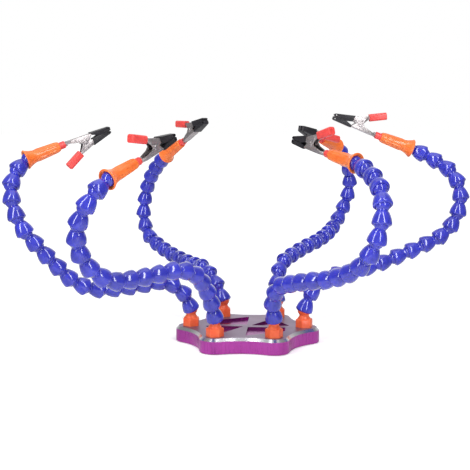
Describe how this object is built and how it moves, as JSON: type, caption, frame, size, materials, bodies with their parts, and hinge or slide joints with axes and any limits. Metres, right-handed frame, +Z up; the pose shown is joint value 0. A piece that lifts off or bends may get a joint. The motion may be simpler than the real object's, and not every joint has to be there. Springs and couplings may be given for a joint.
{
  "type": "helping hands clamp",
  "caption": "Lobed metal base plate carrying bendable arms of ball-and-socket hose, each ending in a flared nozzle that holds a small sprung alligator clip with rubber jaw covers.",
  "frame": {"origin": "centre of the non-slip pad's face, on the bench under the middle of the base plate", "axes": "+Z up, +X towards the right-hand arm seen from the front, so the arms' longest reach is along X, -Y towards the user"},
  "size_m": [0.418, 0.3937, 0.2145],
  "materials": {
    "anodised_plate": "purple anodised, satin, with a bright turned chamfer",
    "pad_rubber": "matt black non-slip sheet",
    "fitting_plastic": "moulded orange acetal, satin",
    "hose_plastic": "moulded royal blue acetal, glossy",
    "nozzle_plastic": "moulded bright orange acetal, glossy",
    "clip_steel": "nickel plated pressed steel sheet",
    "cover_rubber": "soft black rubber, satin",
    "sleeve_vinyl": "dipped red vinyl, glossy"
  },
  "bodies": {
    "base": {"base_plate": "anodised_plate", "non_slip_pad": "pad_rubber", "ball_fittings": "fitting_plastic"},
    "right_lower": {"right_hose_lower": "hose_plastic"},
    "right_upper": {"right_hose_upper": "hose_plastic"},
    "right_nozzle_body": {"right_nozzle": "nozzle_plastic"},
    "right_clip": {"right_fixed_jaw": "clip_steel", "right_fixed_cover": "cover_rubber", "right_fixed_sleeve": "sleeve_vinyl"},
    "right_jaw": {"right_moving_jaw": "clip_steel", "right_moving_cover": "cover_rubber", "right_moving_sleeve": "sleeve_vinyl"},
    "back_right_lower": {"back_right_hose_lower": "hose_plastic"},
    "back_right_upper": {"back_right_hose_upper": "hose_plastic"},
    "back_right_nozzle_body": {"back_right_nozzle": "nozzle_plastic"},
    "back_right_clip": {"back_right_fixed_jaw": "clip_steel", "back_right_fixed_cover": "cover_rubber", "back_right_fixed_sleeve": "sleeve_vinyl"},
    "back_right_jaw": {"back_right_moving_jaw": "clip_steel", "back_right_moving_cover": "cover_rubber", "back_right_moving_sleeve": "sleeve_vinyl"},
    "back_left_lower": {"back_left_hose_lower": "hose_plastic"},
    "back_left_upper": {"back_left_hose_upper": "hose_plastic"},
    "back_left_nozzle_body": {"back_left_nozzle": "nozzle_plastic"},
    "back_left_clip": {"back_left_fixed_jaw": "clip_steel", "back_left_fixed_cover": "cover_rubber", "back_left_fixed_sleeve": "sleeve_vinyl"},
    "back_left_jaw": {"back_left_moving_jaw": "clip_steel", "back_left_moving_cover": "cover_rubber", "back_left_moving_sleeve": "sleeve_vinyl"},
    "left_lower": {"left_hose_lower": "hose_plastic"},
    "left_upper": {"left_hose_upper": "hose_plastic"},
    "left_nozzle_body": {"left_nozzle": "nozzle_plastic"},
    "left_clip": {"left_fixed_jaw": "clip_steel", "left_fixed_cover": "cover_rubber", "left_fixed_sleeve": "sleeve_vinyl"},
    "left_jaw": {"left_moving_jaw": "clip_steel", "left_moving_cover": "cover_rubber", "left_moving_sleeve": "sleeve_vinyl"},
    "front_left_lower": {"front_left_hose_lower": "hose_plastic"},
    "front_left_upper": {"front_left_hose_upper": "hose_plastic"},
    "front_left_nozzle_body": {"front_left_nozzle": "nozzle_plastic"},
    "front_left_clip": {"front_left_fixed_jaw": "clip_steel", "front_left_fixed_cover": "cover_rubber", "front_left_fixed_sleeve": "sleeve_vinyl"},
    "front_left_jaw": {"front_left_moving_jaw": "clip_steel", "front_left_moving_cover": "cover_rubber", "front_left_moving_sleeve": "sleeve_vinyl"},
    "front_right_lower": {"front_right_hose_lower": "hose_plastic"},
    "front_right_upper": {"front_right_hose_upper": "hose_plastic"},
    "front_right_nozzle_body": {"front_right_nozzle": "nozzle_plastic"},
    "front_right_clip": {"front_right_fixed_jaw": "clip_steel", "front_right_fixed_cover": "cover_rubber", "front_right_fixed_sleeve": "sleeve_vinyl"},
    "front_right_jaw": {"front_right_moving_jaw": "clip_steel", "front_right_moving_cover": "cover_rubber", "front_right_moving_sleeve": "sleeve_vinyl"}
  },
  "joints": [
    {"name": "right_base_swivel", "type": "hinge", "parent": "base", "child": "right_lower", "pos_m": [0.0534, 0, 0.0307], "axis": [0, 0, 1], "range_deg": [-15, 15]},
    {"name": "right_elbow", "type": "hinge", "parent": "right_lower", "child": "right_upper", "pos_m": [0.16505, 0.01812, 0.09083], "axis": [0.4158, -0.4105, -0.8116], "range_deg": [-28.5, 21.5]},
    {"name": "right_nozzle_tilt", "type": "hinge", "parent": "right_upper", "child": "right_nozzle_body", "pos_m": [0.1525, 0.04714, 0.18116], "axis": [0.3782, -0.3395, 0.8612], "range_deg": [-37.5, 12.5]},
    {"name": "right_clip_turn", "type": "hinge", "parent": "right_nozzle_body", "child": "right_clip", "pos_m": [0.12473, 0.04224, 0.19142], "axis": [-0.9254, -0.1632, 0.342], "continuous": true},
    {"name": "right_jaw_open", "type": "hinge", "parent": "right_clip", "child": "right_jaw", "pos_m": [0.10455, 0.03868, 0.20326], "axis": [-0.1736, 0.9848, 0], "range_deg": [0, 23], "stiffness_Nm_per_rad": 0.05, "springref_deg": -34.38},
    {"name": "back_right_base_swivel", "type": "hinge", "parent": "base", "child": "back_right_lower", "pos_m": [0.0267, 0.04625, 0.0307], "axis": [0, 0, 1], "range_deg": [-15, 15]},
    {"name": "back_right_elbow", "type": "hinge", "parent": "back_right_lower", "child": "back_right_upper", "pos_m": [0.07729, 0.14409, 0.08619], "axis": [0.1919, -0.3331, 0.9232], "range_deg": [-30.2, 19.8]},
    {"name": "back_right_nozzle_tilt", "type": "hinge", "parent": "back_right_upper", "child": "back_right_nozzle_body", "pos_m": [0.08426, 0.14852, 0.178], "axis": [0.8494, -0.5194, -0.0938], "range_deg": [-36.7, 13.3]},
    {"name": "back_right_clip_turn", "type": "hinge", "parent": "back_right_nozzle_body", "child": "back_right_clip", "pos_m": [0.06977, 0.12342, 0.18577], "axis": [-0.483, -0.8365, 0.2588], "continuous": true},
    {"name": "back_right_jaw_open", "type": "hinge", "parent": "back_right_clip", "child": "back_right_jaw", "pos_m": [0.06208, 0.10187, 0.1918], "axis": [0.1294, 0.2241, 0.9659], "range_deg": [0, 23], "stiffness_Nm_per_rad": 0.05, "springref_deg": -34.38},
    {"name": "back_left_base_swivel", "type": "hinge", "parent": "base", "child": "back_left_lower", "pos_m": [-0.0267, 0.04625, 0.0307], "axis": [0, 0, 1], "range_deg": [-15, 15]},
    {"name": "back_left_elbow", "type": "hinge", "parent": "back_left_lower", "child": "back_left_upper", "pos_m": [-0.10436, 0.13617, 0.0734], "axis": [0.766, 0.6428, 0], "range_deg": [-28.3, 21.7]},
    {"name": "back_left_nozzle_tilt", "type": "hinge", "parent": "back_left_upper", "child": "back_left_nozzle_body", "pos_m": [-0.09097, 0.12121, 0.17023], "axis": [0.6744, 0.7031, 0.2254], "range_deg": [-30.2, 19.8]},
    {"name": "back_left_clip_turn", "type": "hinge", "parent": "back_left_nozzle_body", "child": "back_left_clip", "pos_m": [-0.07349, 0.10038, 0.18291], "axis": [0.5826, -0.6943, 0.4226], "continuous": true},
    {"name": "back_left_jaw_open", "type": "hinge", "parent": "back_left_clip", "child": "back_left_jaw", "pos_m": [-0.06103, 0.08553, 0.19649], "axis": [-0.766, -0.6428, 0], "range_deg": [0, 23], "stiffness_Nm_per_rad": 0.05, "springref_deg": -34.38},
    {"name": "left_base_swivel", "type": "hinge", "parent": "base", "child": "left_lower", "pos_m": [-0.0534, 0, 0.0307], "axis": [0, 0, 1], "range_deg": [-15, 15]},
    {"name": "left_elbow", "type": "hinge", "parent": "left_lower", "child": "left_upper", "pos_m": [-0.15322, -0.06499, 0.06776], "axis": [-0.4981, 0.8628, 0.0868], "range_deg": [-40.1, 9.9]},
    {"name": "left_nozzle_tilt", "type": "hinge", "parent": "left_upper", "child": "left_nozzle_body", "pos_m": [-0.19025, -0.06197, 0.1749], "axis": [-0.3134, 0.8504, -0.4226], "range_deg": [-47.6, 2.4]},
    {"name": "left_clip_turn", "type": "hinge", "parent": "left_nozzle_body", "child": "left_clip", "pos_m": [-0.16583, -0.04788, 0.18516], "axis": [0.8138, 0.4698, 0.342], "continuous": true},
    {"name": "left_jaw_open", "type": "hinge", "parent": "left_clip", "child": "left_jaw", "pos_m": [-0.14564, -0.03622, 0.18926], "axis": [-0.5, 0.866, 0], "range_deg": [0, 23], "stiffness_Nm_per_rad": 0.05, "springref_deg": -34.38},
    {"name": "front_left_base_swivel", "type": "hinge", "parent": "base", "child": "front_left_lower", "pos_m": [-0.0267, -0.04625, 0.0307], "axis": [0, 0, 1], "range_deg": [-15, 15]},
    {"name": "front_left_elbow", "type": "hinge", "parent": "front_left_lower", "child": "front_left_upper", "pos_m": [-0.08637, -0.1383, 0.08104], "axis": [-0.5427, 0.4554, 0.7058], "range_deg": [-27.4, 22.6]},
    {"name": "front_left_nozzle_tilt", "type": "hinge", "parent": "front_left_upper", "child": "front_left_nozzle_body", "pos_m": [-0.09522, -0.18448, 0.16675], "axis": [-0.7989, 0.3385, 0.4972], "range_deg": [-48.4, 1.6]},
    {"name": "front_left_clip_turn", "type": "hinge", "parent": "front_left_nozzle_body", "child": "front_left_clip", "pos_m": [-0.07905, -0.16138, 0.17702], "axis": [0.539, 0.7698, 0.342], "continuous": true},
    {"name": "front_left_jaw_open", "type": "hinge", "parent": "front_left_clip", "child": "front_left_jaw", "pos_m": [-0.0673, -0.1446, 0.18886], "axis": [0.8192, -0.5736, 0], "range_deg": [0, 23], "stiffness_Nm_per_rad": 0.05, "springref_deg": -34.38},
    {"name": "front_right_base_swivel", "type": "hinge", "parent": "base", "child": "front_right_lower", "pos_m": [0.0267, -0.04625, 0.0307], "axis": [0, 0, 1], "range_deg": [-15, 15]},
    {"name": "front_right_elbow", "type": "hinge", "parent": "front_right_lower", "child": "front_right_upper", "pos_m": [0.08945, -0.13713, 0.08756], "axis": [-0.5423, -0.669, -0.5082], "range_deg": [-30.9, 19.1]},
    {"name": "front_right_nozzle_tilt", "type": "hinge", "parent": "front_right_upper", "child": "front_right_nozzle_body", "pos_m": [0.09384, -0.114, 0.17558], "axis": [-0.5135, -0.5771, 0.635], "range_deg": [-34.1, 15.9]},
    {"name": "front_right_clip_turn", "type": "hinge", "parent": "front_right_nozzle_body", "child": "front_right_clip", "pos_m": [0.07485, -0.09137, 0.18079], "axis": [-0.633, 0.7544, 0.1736], "continuous": true},
    {"name": "front_right_jaw_open", "type": "hinge", "parent": "front_right_clip", "child": "front_right_jaw", "pos_m": [0.06056, -0.07433, 0.18889], "axis": [0.766, 0.6428, 0], "range_deg": [0, 23], "stiffness_Nm_per_rad": 0.05, "springref_deg": -34.38}
  ]
}
